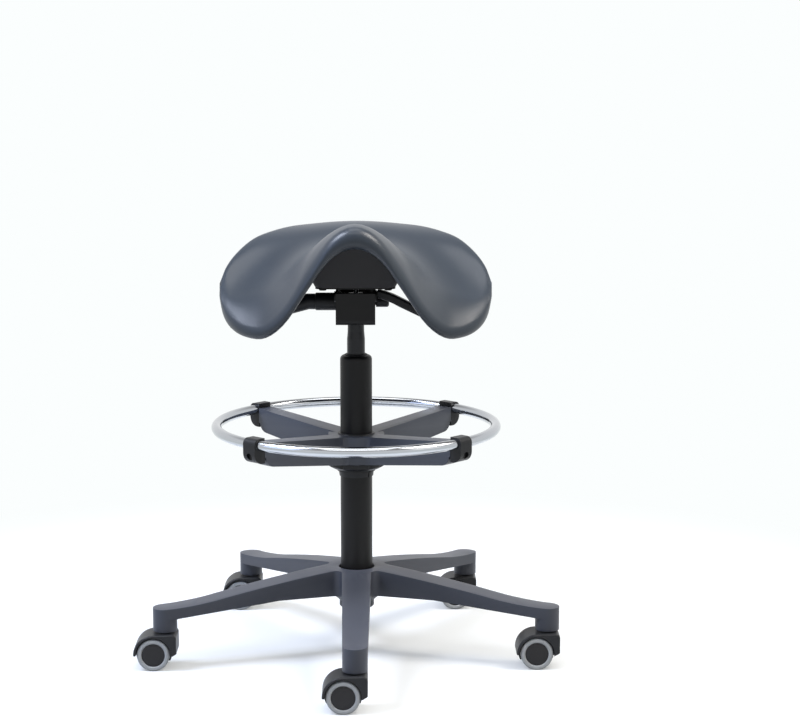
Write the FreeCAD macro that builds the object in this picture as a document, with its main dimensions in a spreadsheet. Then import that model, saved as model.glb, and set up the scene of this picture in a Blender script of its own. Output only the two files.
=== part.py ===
import FreeCAD, Part
import math
import os

import Sketcher

# Saddle stool: a five-leg caster base, a gas lift with a foot ring on its column,
# a tilt mechanism and a moulded saddle seat. Millimetres, +Z up, origin on the
# floor under the column, the pommel of the seat towards -Y.

Vector = FreeCAD.Vector
doc = FreeCAD.newDocument("SaddleStool")
sheet = doc.addObject("Spreadsheet::Sheet", "Sizes")
pieces = []


class Size:
    """A number and the expression that gives it, so that what is worked out stays bound."""

    def __init__(self, number, text):
        self.number = number
        self.text = text

    def __float__(self):
        return float(self.number)

    def __add__(self, other):
        return Size(float(self) + float(other), f"({self.text} + {words(other)})")

    def __radd__(self, other):
        return Size(float(other) + float(self), f"({words(other)} + {self.text})")

    def __sub__(self, other):
        return Size(float(self) - float(other), f"({self.text} - {words(other)})")

    def __rsub__(self, other):
        return Size(float(other) - float(self), f"({words(other)} - {self.text})")

    def __mul__(self, other):
        return Size(float(self) * float(other), f"({self.text} * {words(other)})")

    def __rmul__(self, other):
        return Size(float(other) * float(self), f"({words(other)} * {self.text})")

    def __truediv__(self, other):
        return Size(float(self) / float(other), f"({self.text} / {words(other)})")

    def __neg__(self):
        return Size(-float(self), f"(0 - {self.text})")


def words(value):
    return value.text if isinstance(value, Size) else repr(float(value))


def root(value):
    """Square root of a size, bound like the rest."""
    return Size(math.sqrt(float(value)), f"sqrt({value.text})")


def size(name, number, note):
    row = len(size.names) + 1
    size.names.append(name)
    sheet.set(f"A{row}", name)
    sheet.set(f"B{row}", str(number))
    sheet.set(f"C{row}", note)
    sheet.setAlias(f"B{row}", name)
    return Size(number, f"Sizes.{name}")


size.names = []


def bind(thing, prop, value):
    """Set a property, and keep it tied to the sheet when the value comes from there."""
    if isinstance(value, Size):
        thing.setExpression(prop, value.text)
    else:
        setattr(thing, prop, value)


def body(name, x=0, y=0, z=0, turn=0):
    """A new sub-part, with its place bound before anything is built in it."""
    thing = doc.addObject("PartDesign::Body", name)
    thing.Label = name
    for prop, value in (("Base.x", x), ("Base.y", y), ("Base.z", z), ("Rotation.Yaw", turn)):
        if isinstance(value, Size):
            thing.setExpression(f".Placement.{prop}", value.text)
        elif value:
            thing.setExpression(f".Placement.{prop}", repr(float(value)))
    pieces.append(thing)
    return thing


def sketch_on(owner, role, offset=0):
    """An empty sketch on one of the body's own planes, moved along the plane's normal."""
    sketch = owner.newObject("Sketcher::SketchObject", f"{owner.Name}_sketch")
    plane = [item for item in owner.Origin.OriginFeatures if item.Role == role][0]
    sketch.AttachmentSupport = [(plane, "")]
    sketch.MapMode = "FlatFace"
    if isinstance(offset, Size):
        sketch.setExpression("AttachmentOffset.Base.z", offset.text)
    elif offset:
        sketch.AttachmentOffset = FreeCAD.Placement(Vector(0, 0, offset), FreeCAD.Rotation())
    return sketch


def hold(sketch, shape, point, x, y):
    """Tie one point of a sketch to the sketch's origin."""
    for kind, axis, value in (("DistanceX", -2, x), ("DistanceY", -1, y)):
        if not isinstance(value, Size) and value == 0:
            sketch.addConstraint(Sketcher.Constraint("PointOnObject", shape, point, axis))
            continue
        index = sketch.addConstraint(Sketcher.Constraint(kind, -1, 1, shape, point, float(value)))
        if isinstance(value, Size):
            sketch.setExpression(f"Constraints[{index}]", value.text)


def trace(sketch, points):
    """A closed outline. A third value is the radius of the arc to that point: positive turns left."""
    spots = [Vector(float(p[0]), float(p[1]), 0) for p in points]
    first = sketch.GeometryCount
    ends = []
    for index, point in enumerate(points):
        start = spots[index - 1]
        end = spots[index]
        if len(point) == 2:
            sketch.addGeometry(Part.LineSegment(start, end))
            ends.append((1, 2))
            continue
        radius = abs(float(point[2]))
        left = float(point[2]) > 0
        half = (end - start) * 0.5
        normal = Vector(-half.y, half.x, 0).normalize() * (1 if left else -1)
        centre = start + half + normal * math.sqrt(max(radius**2 - half.Length**2, 0))
        a, b = (start, end) if left else (end, start)
        low = math.atan2(a.y - centre.y, a.x - centre.x)
        high = math.atan2(b.y - centre.y, b.x - centre.x)
        circle = Part.Circle(centre, Vector(0, 0, 1), radius)
        number = sketch.addGeometry(Part.ArcOfCircle(circle, low, high))
        ends.append((1, 2) if left else (2, 1))
        value = point[2] if left else -point[2]
        place = sketch.addConstraint(Sketcher.Constraint("Radius", number, radius))
        if isinstance(value, Size):
            sketch.setExpression(f"Constraints[{place}]", value.text)
    count = len(points)
    for index in range(count):
        after = (index + 1) % count
        joint = (first + index, ends[index][1], first + after, ends[after][0])
        sketch.addConstraint(Sketcher.Constraint("Coincident", *joint))
        hold(sketch, first + index, ends[index][1], points[index][0], points[index][1])


def rings(sketch, circles):
    """Circles given as x, y and radius."""
    for x, y, radius in circles:
        centre = Vector(float(x), float(y), 0)
        number = sketch.addGeometry(Part.Circle(centre, Vector(0, 0, 1), float(radius)))
        hold(sketch, number, 3, x, y)
        place = sketch.addConstraint(Sketcher.Constraint("Radius", number, float(radius)))
        if isinstance(radius, Size):
            sketch.setExpression(f"Constraints[{place}]", radius.text)


def pad(owner, sketch, length, both=False, cut=False, back=False):
    """Extrude a sketch along its normal, to both sides alike, or against the normal."""
    kind = "PartDesign::Pocket" if cut else "PartDesign::Pad"
    feature = owner.newObject(kind, f"{owner.Name}_pad")
    feature.Profile = sketch
    bind(feature, "Length", length)
    if both:
        feature.SideType = "Symmetric"
    feature.Reversed = back
    owner.Tip = feature
    return feature


def spin(owner, role, points, axis="V_Axis", cut=False):
    """Turn an outline a full turn about an axis of its sketch."""
    sketch = sketch_on(owner, role)
    trace(sketch, points)
    kind = "PartDesign::Groove" if cut else "PartDesign::Revolution"
    feature = owner.newObject(kind, f"{owner.Name}_turned")
    feature.Profile = sketch
    feature.ReferenceAxis = (sketch, [axis])
    feature.Angle = 360
    owner.Tip = feature
    return feature


def repeat(owner, feature, sketch, count):
    """Copies of a feature, evenly turned about the body's upright axis."""
    pattern = owner.newObject("PartDesign::PolarPattern", f"{owner.Name}_pattern")
    pattern.Originals = [feature]
    pattern.Axis = (sketch, ["N_Axis"])
    pattern.Angle = 360
    bind(pattern, "Occurrences", count)
    owner.Tip = pattern
    return pattern


def soften(owner, radius, wanted, kind="PartDesign::Fillet"):
    """Round or bevel the edges of the body's last shape that the test picks."""
    doc.recompute()
    base = owner.Tip
    names = [f"Edge{i + 1}" for i, edge in enumerate(base.Shape.Edges) if wanted(edge)]
    feature = owner.newObject(kind, f"{owner.Name}_edge")
    feature.Base = (base, names)
    bind(feature, "Radius" if kind == "PartDesign::Fillet" else "Size", radius)
    owner.Tip = feature
    return feature


def solid(name, shape):
    """A sub-part whose form has no feature of its own, such as a loft through changing sections."""
    thing = doc.addObject("Part::Feature", name)
    thing.Label = name
    thing.Shape = shape
    pieces.append(thing)
    return thing


def upright(edge):
    line = edge.Vertexes[-1].Point - edge.Vertexes[0].Point
    return math.hypot(line.x, line.y) < 0.01 < abs(line.z)


def along_x(edge):
    line = edge.Vertexes[-1].Point - edge.Vertexes[0].Point
    return math.hypot(line.y, line.z) < 0.01 < abs(line.x)


# Driving sizes of the caster wheels, which the base stands on
wheel_radius = size("wheel_radius", 25, "outside of the tyre")
caster_trail = size("caster_trail", 17, "axle behind the swivel stem")
stem_radius = size("stem_radius", 5.5, "swivel stem of a caster")
running_gap = size("running_gap", 0.06, "radial clearance of shafts and sliding sleeves")
hood_rise = size("hood_rise", 7, "flat top of the hood above its wheels")

hood_top = 2 * wheel_radius + hood_rise

# Column sizes, which the base, the foot ring, the lift and the mechanism share
hub_top = size("hub_top", 136, "flat top of the hub")
tube_radius = size("tube_radius", 25, "outside of the stand tube")
tube_wall = size("tube_wall", 2, "wall of the stand tube")
tube_depth = size("tube_depth", 63, "stand tube below the hub's top")
tube_top = size("tube_top", 475, "rounded top of the stand tube")
tube_foot_radius = size("tube_foot_radius", 23.5, "tube's outside at its lower end")
lift_radius = size("lift_radius", 14, "outside of the gas cylinder")
lift_shown = size("lift_shown", 55, "stand tube to the housing, as shown")
housing_rise = size("housing_rise", 58, "underside of the housing to the seat plate")

tube_foot = hub_top - tube_depth
tube_taper_top = hub_top - 8
housing_foot = tube_top + lift_shown
plate_foot = housing_foot + housing_rise

# Base star: one nylon moulding with five ribbed legs
leg_count = size("leg_count", 5, "legs of the base")
leg_reach = size("leg_reach", 311, "column axis to caster stem")
leg_root_width = size("leg_root_width", 46.4, "leg at the column axis")
leg_tip_radius = size("leg_tip_radius", 18.7, "round end of a leg")
hub_flat = size("hub_flat", 48, "radius where the legs start to fall")
leg_knee = size("leg_knee", 240, "radius where the fall of the top changes from convex to concave")
leg_knee_drop = size("leg_knee_drop", 33, "fall of the top at the knee")
leg_tip_drop = size("leg_tip_drop", 40, "fall of the top at its outer end")
leg_tip_start = size("leg_tip_start", 300, "radius where the flat tip begins")
leg_depth = size("leg_depth", 41, "depth of a leg at the hub")
leg_under_start = size("leg_under_start", 135, "radius where the underside starts to fall")
leg_under_fall = size("leg_under_fall", 16, "fall of the underside to the tip")
hub_depth = size("hub_depth", 65, "hub below its flat top")
hub_radius = size("hub_radius", 27.5, "hub below the legs")
hub_blend = size("hub_blend", 12, "hollow corner between two legs")
leg_wall = size("leg_wall", 4, "wall of a leg")
leg_roof = size("leg_roof", 8.5, "roof of a leg over its pockets")
leg_ribs = 4
rib = size("rib", 3, "rib between two pockets")

leg_under = hub_top - leg_depth
leg_under_tip = leg_under - leg_under_fall
hub_foot = hub_top - hub_depth
barrel_foot = hood_top + 2
base_edge = leg_reach + 2 * leg_tip_radius


def leg_half(reach):
    """Half width of a leg at a distance from the column axis."""
    return leg_root_width / 2 - (leg_root_width / 2 - leg_tip_radius) * reach / leg_reach


def base_star():
    star = body("base_star", turn=-90)
    low = leg_under_tip - 2
    plan = sketch_on(star, "XY_Plane", low)
    half = leg_root_width / 2
    trace(plan, [
        (0, -half),
        (leg_reach, -leg_tip_radius),
        (leg_reach + leg_tip_radius, 0, leg_tip_radius),
        (leg_reach, leg_tip_radius, leg_tip_radius),
        (0, half),
    ])
    leg = pad(star, plan, hub_top - low)
    repeat(star, leg, plan, leg_count)
    soften(star, hub_blend, lambda edge: upright(edge) and near_axis(edge))
    over = hub_top + 20
    spin(star, "XZ_Plane", [
        (hub_flat, over),
        (hub_flat, hub_top),
        (leg_knee, hub_top - leg_knee_drop, -3000),
        (leg_tip_start, hub_top - leg_tip_drop, 600),
        (base_edge, hub_top - leg_tip_drop - 1.5),
        (base_edge, over),
    ], cut=True)
    spin(star, "XZ_Plane", [
        (0, low - 5),
        (base_edge, low - 5),
        (base_edge, leg_under_tip),
        (leg_tip_start, leg_under_tip),
        (leg_under_start, leg_under),
        (0, leg_under),
    ], cut=True)
    for number in range(leg_ribs):
        pocket_leg(star, number)
    spin(star, "XZ_Plane", [
        (0, hub_foot),
        (hub_radius - 2, hub_foot),
        (hub_radius, hub_foot + 2),
        (hub_radius, leg_under - 13),
        (hub_radius + 14, leg_under - 1),
        (hub_radius + 14, leg_under + 6),
        (0, leg_under + 6),
    ])
    barrels = sketch_on(star, "XY_Plane", barrel_foot)
    rings(barrels, [(leg_reach, 0, leg_tip_radius)])
    barrel = pad(star, barrels, leg_under_tip - barrel_foot + 8)
    repeat(star, barrel, barrels, leg_count)
    mouth = tube_radius + 3
    spin(star, "XZ_Plane", [
        (0, hub_foot - 1),
        (tube_radius_at(hub_foot - 1), hub_foot - 1),
        (tube_radius, tube_taper_top),
        (mouth, tube_taper_top + 2),
        (mouth, hub_top - 1),
        (mouth + 2, hub_top + 1),
        (0, hub_top + 1),
    ], cut=True)
    sockets = sketch_on(star, "XY_Plane", barrel_foot)
    rings(sockets, [(leg_reach, 0, stem_radius)])
    socket = pad(star, sockets, stem_top - barrel_foot, cut=True, back=True)
    repeat(star, socket, sockets, leg_count)
    return star


def near_axis(edge):
    point = edge.Vertexes[0].Point
    return math.hypot(point.x, point.y) < float(leg_root_width) * 1.5


def pocket_leg(star, number):
    """One of the moulded pockets under each leg, between two cross ribs."""
    start = hub_flat + 6
    pitch = (leg_reach - leg_tip_radius - rib - start) / leg_ribs
    inner = start + pitch * number
    outer = inner + pitch - rib
    roof = hub_top - leg_roof - leg_tip_drop * (outer - hub_flat) / (leg_reach - hub_flat)
    low = leg_under_tip - 2
    sketch = sketch_on(star, "XY_Plane", low)
    inner_half = leg_half(inner) - leg_wall
    outer_half = leg_half(outer) - leg_wall
    trace(sketch, [(inner, -inner_half), (outer, -outer_half), (outer, outer_half), (inner, inner_half)])
    pocket = pad(star, sketch, roof - low, cut=True, back=True)
    repeat(star, pocket, sketch, leg_count)


def tube_radius_at(height):
    """Outside of the stand tube's taper seat."""
    share = (height - tube_foot) / (tube_taper_top - tube_foot)
    return tube_foot_radius + (tube_radius - tube_foot_radius) * share


# Casters: stem, hood, axle and two wheels that turn by themselves
stem_up = size("stem_up", 14, "caster stem above the underside of its leg")
stem_down = size("stem_down", 21, "caster stem in its hood")
hood_width = size("hood_width", 52, "hood across both wheels")
guard_gap = size("guard_gap", 2, "tyre to the inside of the guard")
guard_wall = size("guard_wall", 4, "wall of the guard over the wheels")
fork_width = size("fork_width", 15, "web between the two wheels")
fork_low = size("fork_low", 12, "lower edge of the web")
axle_radius = size("axle_radius", 3, "caster axle")
wheel_width = size("wheel_width", 17, "one wheel along its axle")
wheel_side_gap = size("wheel_side_gap", 0.8, "wheel to the web")
rim_radius = size("rim_radius", 18, "wheel centre, where the tyre sits")
face_wall = size("face_wall", 3, "closed outer face of a wheel")

wheel_inner = fork_width / 2 + wheel_side_gap
wheel_outer = wheel_inner + wheel_width
guard_inner = wheel_radius + guard_gap
guard_outer = guard_inner + guard_wall
stem_top = leg_under_tip + stem_up
stem_foot = hood_top - stem_down


def leg_spots():
    """Angle of each leg, starting at the one towards the front."""
    count = int(leg_count.number)
    return [math.radians(-90 + 360 * index / count) for index in range(count)]


def at_leg(angle, along=0):
    """Place of a caster stem, moved along X."""
    return leg_reach * math.cos(angle) + along, leg_reach * math.sin(angle)


def caster_stems():
    stems = body("caster_stems", turn=-90)
    sketch = sketch_on(stems, "XY_Plane", stem_foot)
    shanks = pad(stems, sketch, stem_top - stem_foot)
    angles = [math.radians(90) + angle for angle in leg_spots()]
    rings(sketch, [(leg_reach * math.cos(a), leg_reach * math.sin(a), stem_radius) for a in angles])
    shanks.AllowMultiFace = True
    return stems


def caster_hood(name, x, y):
    hood = body(name, x, y)
    side = sketch_on(hood, "XZ_Plane")
    back = -caster_trail
    block = leg_tip_radius
    tip = wheel_radius - 1
    trace(side, [
        (back - guard_outer, tip),
        (back, wheel_radius + guard_outer, -guard_outer),
        (block - 7, hood_top),
        (block, hood_top - 7, -7),
        (block, wheel_radius + 2),
        (back + guard_inner, wheel_radius - 3),
        (back, wheel_radius + guard_inner, guard_inner),
        (back - guard_inner, tip, guard_inner),
    ])
    pad(hood, side, hood_width, both=True)
    soften(hood, guard_wall - 1, hood_rim)
    web = sketch_on(hood, "XZ_Plane")
    rings(web, [(back, wheel_radius, guard_inner + 1)])
    pad(hood, web, fork_width, both=True)
    below = sketch_on(hood, "XZ_Plane")
    reach = guard_outer + 2
    trace(below, [
        (back - reach, -reach),
        (back + reach, -reach),
        (back + reach, fork_low),
        (back - reach, fork_low),
    ])
    pad(hood, below, fork_width + 2, both=True, cut=True)
    hole = sketch_on(hood, "XZ_Plane")
    rings(hole, [(back, wheel_radius, axle_radius)])
    pad(hood, hole, fork_width + 2, both=True, cut=True)
    socket = sketch_on(hood, "XY_Plane", hood_top + 1)
    rings(socket, [(0, 0, stem_radius + running_gap)])
    pad(hood, socket, hood_top + 1 - (stem_foot - 1), cut=True)
    return hood


def hood_rim(edge):
    """Outer long edges of the guard, seen from the side."""
    box = edge.BoundBox
    if box.YLength > 0.01 or abs(abs(box.YMin) - float(hood_width) / 2) > 0.01:
        return False
    middle = edge.valueAt((edge.FirstParameter + edge.LastParameter) / 2)
    away = math.hypot(middle.x + float(caster_trail), middle.z - float(wheel_radius))
    if abs(away - float(guard_inner)) < 0.5 or middle.z < float(wheel_radius) + 1.9:
        return False
    return True


def caster_axle(name, x, y):
    axle = body(name, x, y, wheel_radius)
    sketch = sketch_on(axle, "XZ_Plane")
    rings(sketch, [(0, 0, axle_radius)])
    pad(axle, sketch, 2 * (wheel_outer - face_wall - 0.5), both=True)
    return axle


def caster_wheel(name, x, y, turn):
    wheel = body(name, x, y, wheel_radius, turn)
    bore = axle_radius + running_gap
    boss = axle_radius + 4
    face = wheel_outer - face_wall
    spin(wheel, "YZ_Plane", [
        (wheel_inner, bore),
        (face, bore),
        (face, 0),
        (wheel_outer + 0.4, 0),
        (wheel_outer + 0.4, rim_radius - 6),
        (wheel_outer - 1.2, rim_radius),
        (wheel_inner, rim_radius),
        (wheel_inner, rim_radius - 2.5),
        (face, rim_radius - 2.5),
        (face, boss),
        (wheel_inner, boss),
    ], axis="H_Axis")
    return wheel


def caster_tyre(name, x, y, turn):
    tyre = body(name, x, y, wheel_radius, turn)
    bevel = 2
    spin(tyre, "YZ_Plane", [
        (wheel_inner, rim_radius),
        (wheel_outer - 1.2, rim_radius),
        (wheel_outer, rim_radius + 1.5),
        (wheel_outer, wheel_radius - bevel),
        (wheel_outer - bevel, wheel_radius),
        (wheel_inner + bevel, wheel_radius),
        (wheel_inner, wheel_radius - bevel),
    ], axis="H_Axis")
    return tyre


# Gas lift: stand tube, guide bush, cylinder, rod and its bearing
bush_length = size("bush_length", 80, "guide bush in the top of the tube")
lip_radius = size("lip_radius", 18, "mouth of the stand tube")
shoulder = size("shoulder", 7, "round shoulder at the top of the tube")
floor_wall = size("floor_wall", 3, "closed floor of the stand tube")
rod_radius = size("rod_radius", 5, "piston rod")
rod_below = size("rod_below", 7, "piston rod below the stand tube")
piston_below = size("piston_below", 80, "top of the piston below the tube's top")
piston_height = size("piston_height", 15, "piston on the rod")
cylinder_up = size("cylinder_up", 67, "gas cylinder above the tube's lower end, as shown")
cylinder_wall = size("cylinder_wall", 1.5, "wall of the gas cylinder")
neck_below = size("neck_below", 15, "full diameter below the taper")
taper_below = size("taper_below", 15, "taper below the housing")
taper_gap = size("taper_gap", 16, "top of the taper below the seat plate")
taper_foot_radius = size("taper_foot_radius", 12.95, "taper at its lower end")
taper_top_radius = size("taper_top_radius", 11.5, "taper at its top")
valve_radius = size("valve_radius", 3.5, "release button of the lift")
valve_rise = size("valve_rise", 6, "release button above the taper")
washer_thick = size("washer_thick", 1.5, "race washer of the thrust bearing")
ball_radius = size("ball_radius", 2, "ball of the thrust bearing")
ball_circle = size("ball_circle", 9.5, "circle of the ball centres")

tube_bore = tube_radius - tube_wall
race_foot = tube_foot + floor_wall
race_top = race_foot + washer_thick + 2 * ball_radius
rod_foot = tube_foot - rod_below
rod_top = tube_top - piston_below
cylinder_foot = tube_foot + cylinder_up
taper_foot = housing_foot - taper_below
taper_top = plate_foot - taper_gap
cylinder_neck = taper_foot - neck_below
valve_top = taper_top + valve_rise


def stand_tube():
    tube = body("stand_tube")
    crown = tube_top - shoulder
    inner_round = shoulder - tube_wall
    spin(tube, "XZ_Plane", [
        (rod_radius + 0.6, tube_foot),
        (tube_foot_radius, tube_foot),
        (tube_radius, tube_taper_top),
        (tube_radius, crown),
        (lip_radius, tube_top, shoulder),
        (lip_radius, tube_top - tube_wall),
        (tube_bore, crown, -inner_round),
        (tube_bore, tube_taper_top),
        (tube_foot_radius - tube_wall, race_foot),
        (rod_radius + 0.6, race_foot),
    ])
    return tube


def guide_bush():
    bush = body("guide_bush")
    bore = lift_radius + running_gap
    crown = tube_top - shoulder
    foot = crown - bush_length
    spin(bush, "XZ_Plane", [
        (bore, foot),
        (tube_bore, foot),
        (tube_bore, crown),
        (lip_radius, tube_top - tube_wall, shoulder - tube_wall),
        (lip_radius, tube_top + 0.8),
        (lip_radius - 2, tube_top + 1.8),
        (bore, tube_top + 1.8),
    ])
    return bush


def gas_cylinder():
    lift = body("gas_cylinder")
    rod_hole = rod_radius + running_gap
    valve_hole = valve_radius + running_gap
    bore = lift_radius - cylinder_wall
    valve_floor = taper_top - 18
    spin(lift, "XZ_Plane", [
        (rod_hole, cylinder_foot),
        (lift_radius, cylinder_foot),
        (lift_radius, cylinder_neck),
        (taper_foot_radius, cylinder_neck + 12),
        (taper_foot_radius, taper_foot),
        (taper_top_radius, taper_top),
        (valve_hole, taper_top),
        (valve_hole, valve_floor),
        (0, valve_floor),
        (0, cylinder_neck - 5),
        (bore, cylinder_neck - 5),
        (bore, cylinder_foot + 8),
        (rod_hole, cylinder_foot + 8),
    ])
    return lift


def piston_rod():
    rod = body("piston_rod")
    groove_low = tube_foot - 2.8
    groove_high = groove_low + 1.4
    neck = rod_radius - 1.2
    spin(rod, "XZ_Plane", [
        (0, rod_foot),
        (rod_radius - 1, rod_foot),
        (rod_radius, rod_foot + 1),
        (rod_radius, groove_low),
        (neck, groove_low),
        (neck, groove_high),
        (rod_radius, groove_high),
        (rod_radius, rod_top - piston_height),
        (lift_radius - cylinder_wall - 0.3, rod_top - piston_height),
        (lift_radius - cylinder_wall - 0.3, rod_top),
        (0, rod_top),
    ])
    return rod


def ring_piece(name, inner, outer, low, high):
    """A plain round washer, bush or clip about the column axis."""
    ring = body(name)
    spin(ring, "XZ_Plane", [(inner, low), (outer, low), (outer, high), (inner, high)])
    return ring


def rod_clip():
    low = tube_foot - 2.8
    return ring_piece("rod_clip", rod_radius - 1.2, rod_radius + 4, low, low + 1.4)


def thrust_bearing():
    """Lower race washer with its caged balls as one ring, a bought-in unit."""
    bearing = body("thrust_bearing")
    inner = rod_radius + 0.8
    crown = race_foot + washer_thick
    spin(bearing, "XZ_Plane", [
        (inner, race_foot),
        (2 * ball_circle - inner, race_foot),
        (2 * ball_circle - inner, crown),
        (ball_circle + ball_radius, crown),
        (ball_circle + ball_radius, race_top),
        (ball_circle - ball_radius, race_top),
        (ball_circle - ball_radius, crown),
        (inner, crown),
    ])
    return bearing


def thrust_washer():
    low = race_top + 0.2
    inner = rod_radius
    return ring_piece("thrust_washer", inner, 2 * ball_circle - inner, low, low + washer_thick)


def rubber_buffer():
    low = race_top + 0.2 + washer_thick
    return ring_piece("rubber_buffer", rod_radius, rod_radius + 8, low, low + 14)


def valve_button():
    button = body("valve_button")
    low = taper_top - 15
    spin(button, "XZ_Plane", [
        (0, low),
        (valve_radius, low),
        (valve_radius, valve_top - 1),
        (valve_radius - 1, valve_top),
        (0, valve_top),
    ])
    return button


# Foot ring: chrome tube, four-arm spider, clips, collet and twist lock
ring_radius = size("ring_radius", 219, "centre line of the foot ring")
ring_tube = size("ring_tube", 8, "radius of the foot ring's tube")
ring_level = size("ring_level", 362.5, "height of the foot ring")
arm_count = size("arm_count", 4, "arms of the spider")
arm_root_width = size("arm_root_width", 36, "arm at the column")
arm_tip_width = size("arm_tip_width", 26, "arm at the ring")
arm_below = size("arm_below", 12.5, "top of the spider's hub below the foot ring")
arm_rise = size("arm_rise", 16, "rise of the arm's top to its end")
arm_depth = size("arm_depth", 43, "depth of the spider at the hub")
arm_under_rise = size("arm_under_rise", 21, "rise of the arm's underside to its end")
spider_hub = size("spider_hub", 44, "hub of the spider")
collet_wall = size("collet_wall", 3, "wall of the gripping sleeve")
collet_length = size("collet_length", 67, "gripping sleeve below the spider's top")
lock_radius = size("lock_radius", 45, "outside of the twist ring")
lock_height = size("lock_height", 11, "height of the twist ring")
clip_width = size("clip_width", 25, "clip along the ring")
clip_wall = size("clip_wall", 3.5, "clip outside the ring's tube")
clip_cover = size("clip_cover", 2.5, "clip over the ring's tube")
clip_round = size("clip_round", 9, "rounding of the clip's upper edge")
clip_drop = size("clip_drop", 28, "clip below the ring's centre")
screw_radius = size("screw_radius", 3, "screw of a clip")
screw_drop = size("screw_drop", 17, "screw below the ring's centre")

arm_end = ring_radius - ring_tube - 1.7
arm_top = ring_level - arm_below
arm_under = arm_top - arm_depth
collet_foot = arm_top - collet_length
collet_bore = tube_radius + running_gap
collet_radius = collet_bore + collet_wall
spider_bore = collet_radius + running_gap
arm_turn = -43.7


def foot_ring():
    ring = doc.addObject("Part::Torus", "foot_ring")
    ring.Label = "foot_ring"
    bind(ring, "Radius1", ring_radius)
    bind(ring, "Radius2", ring_tube)
    ring.setExpression("Placement.Base.z", ring_level.text)
    pieces.append(ring)
    return ring


def ring_spider():
    spider = body("ring_spider", turn=arm_turn)
    low = arm_under
    high = arm_top + arm_rise + 4
    plan = sketch_on(spider, "XY_Plane", low)
    root = arm_root_width / 2
    tip = arm_tip_width / 2
    trace(plan, [(0, -root), (arm_end, -tip), (arm_end, tip), (0, root)])
    arm = pad(spider, plan, high - low)
    repeat(spider, arm, plan, arm_count)
    hub = sketch_on(spider, "XY_Plane", low)
    rings(hub, [(0, 0, spider_hub)])
    pad(spider, hub, arm_depth)
    soften(spider, 12, lambda edge: upright(edge) and beside_hub(edge.Vertexes[0].Point))
    end = arm_end + 5
    over = high + 5
    spin(spider, "XZ_Plane", [
        (0, over),
        (0, arm_top),
        (spider_hub - 10, arm_top),
        (end, arm_top + arm_rise),
        (end, over),
    ], cut=True)
    under_end = arm_under + arm_under_rise
    spin(spider, "XZ_Plane", [
        (spider_hub + 2, low - 5),
        (end, low - 5),
        (end, under_end + 14),
        (arm_end - 2, under_end + 14),
        (arm_end - 16, under_end - 1, -16),
        (spider_hub + 2, arm_under),
    ], cut=True)
    spin(spider, "XZ_Plane", [
        (0, low - 1),
        (spider_bore, low - 1),
        (spider_bore, over),
        (0, over),
    ], cut=True)
    return_holes = sketch_on(spider, "YZ_Plane", arm_end + 1)
    rings(return_holes, [(0, ring_level - screw_drop, screw_radius)])
    hole = pad(spider, return_holes, 24, cut=True)
    upright_axis = sketch_on(spider, "XY_Plane")
    rings(upright_axis, [(0, 0, spider_bore)])
    repeat(spider, hole, upright_axis, arm_count)
    return spider


def beside_hub(point):
    return abs(math.hypot(point.x, point.y) - float(spider_hub)) < 0.5


def clip_profile():
    """Section of a clip in a plane through the column axis: distance out, height."""
    outer = ring_radius + ring_tube + clip_wall
    top = ring_level + ring_tube + clip_cover
    low = ring_level - clip_drop
    return [
        (arm_end, low),
        (outer - 16, low),
        (outer, low + 16, 16),
        (outer, top - clip_round),
        (outer - clip_round, top, clip_round),
        (arm_end, top),
    ]


def ring_clips():
    """Four hooks that hold the ring to the arms, each hollowed for the tube and its screw head."""
    blocks = []
    outline = [Vector(float(p[0]), 0, float(p[1])) for p in clip_profile()]
    bends = [float(p[2]) if len(p) == 3 else 0 for p in clip_profile()]
    edges = []
    for index, end in enumerate(outline):
        start = outline[index - 1]
        if bends[index]:
            middle = (start + end) * 0.5
            out = Vector(end.z - start.z, 0, start.x - end.x).normalize()
            sagitta = bends[index] * (1 - math.sqrt(0.5))
            edges.append(Part.Arc(start, middle + out * sagitta, end).toShape())
        else:
            edges.append(Part.LineSegment(start, end).toShape())
    face = Part.Face(Part.Wire(edges))
    width = float(clip_width)
    face.translate(Vector(0, -width / 2, 0))
    block = face.extrude(Vector(0, width, 0))
    tube = Part.makeTorus(float(ring_radius), float(ring_tube), Vector(0, 0, float(ring_level)))
    height = float(ring_level) - float(screw_drop)
    outer = float(ring_radius) + float(ring_tube) + float(clip_wall)
    shank = Part.makeCylinder(float(screw_radius), 60, Vector(outer - 50, 0, height), Vector(1, 0, 0))
    well = Vector(outer - 8, 0, height)
    head = Part.makeCylinder(float(screw_radius) + 2.5, 20, well, Vector(1, 0, 0))
    block = block.cut(tube).cut(shank).cut(head)
    count = int(arm_count.number)
    for index in range(count):
        copy = block.copy()
        copy.rotate(Vector(0, 0, 0), Vector(0, 0, 1), arm_turn + 360 * index / count)
        blocks.append(copy)
    return solid("ring_clips", Part.makeCompound(blocks))


def clip_screws():
    height = float(ring_level) - float(screw_drop)
    outer = float(ring_radius) + float(ring_tube) + float(clip_wall)
    seat = outer - 8
    start = float(arm_end) - 20
    shank = Part.makeCylinder(float(screw_radius), seat - start, Vector(start, 0, height), Vector(1, 0, 0))
    head = Part.makeCylinder(float(screw_radius) + 2.3, 3.5, Vector(seat, 0, height), Vector(1, 0, 0))
    screw = shank.fuse(head)
    count = int(arm_count.number)
    screws = []
    for index in range(count):
        copy = screw.copy()
        copy.rotate(Vector(0, 0, 0), Vector(0, 0, 1), arm_turn + 360 * index / count)
        screws.append(copy)
    return solid("clip_screws", Part.makeCompound(screws))


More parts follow.
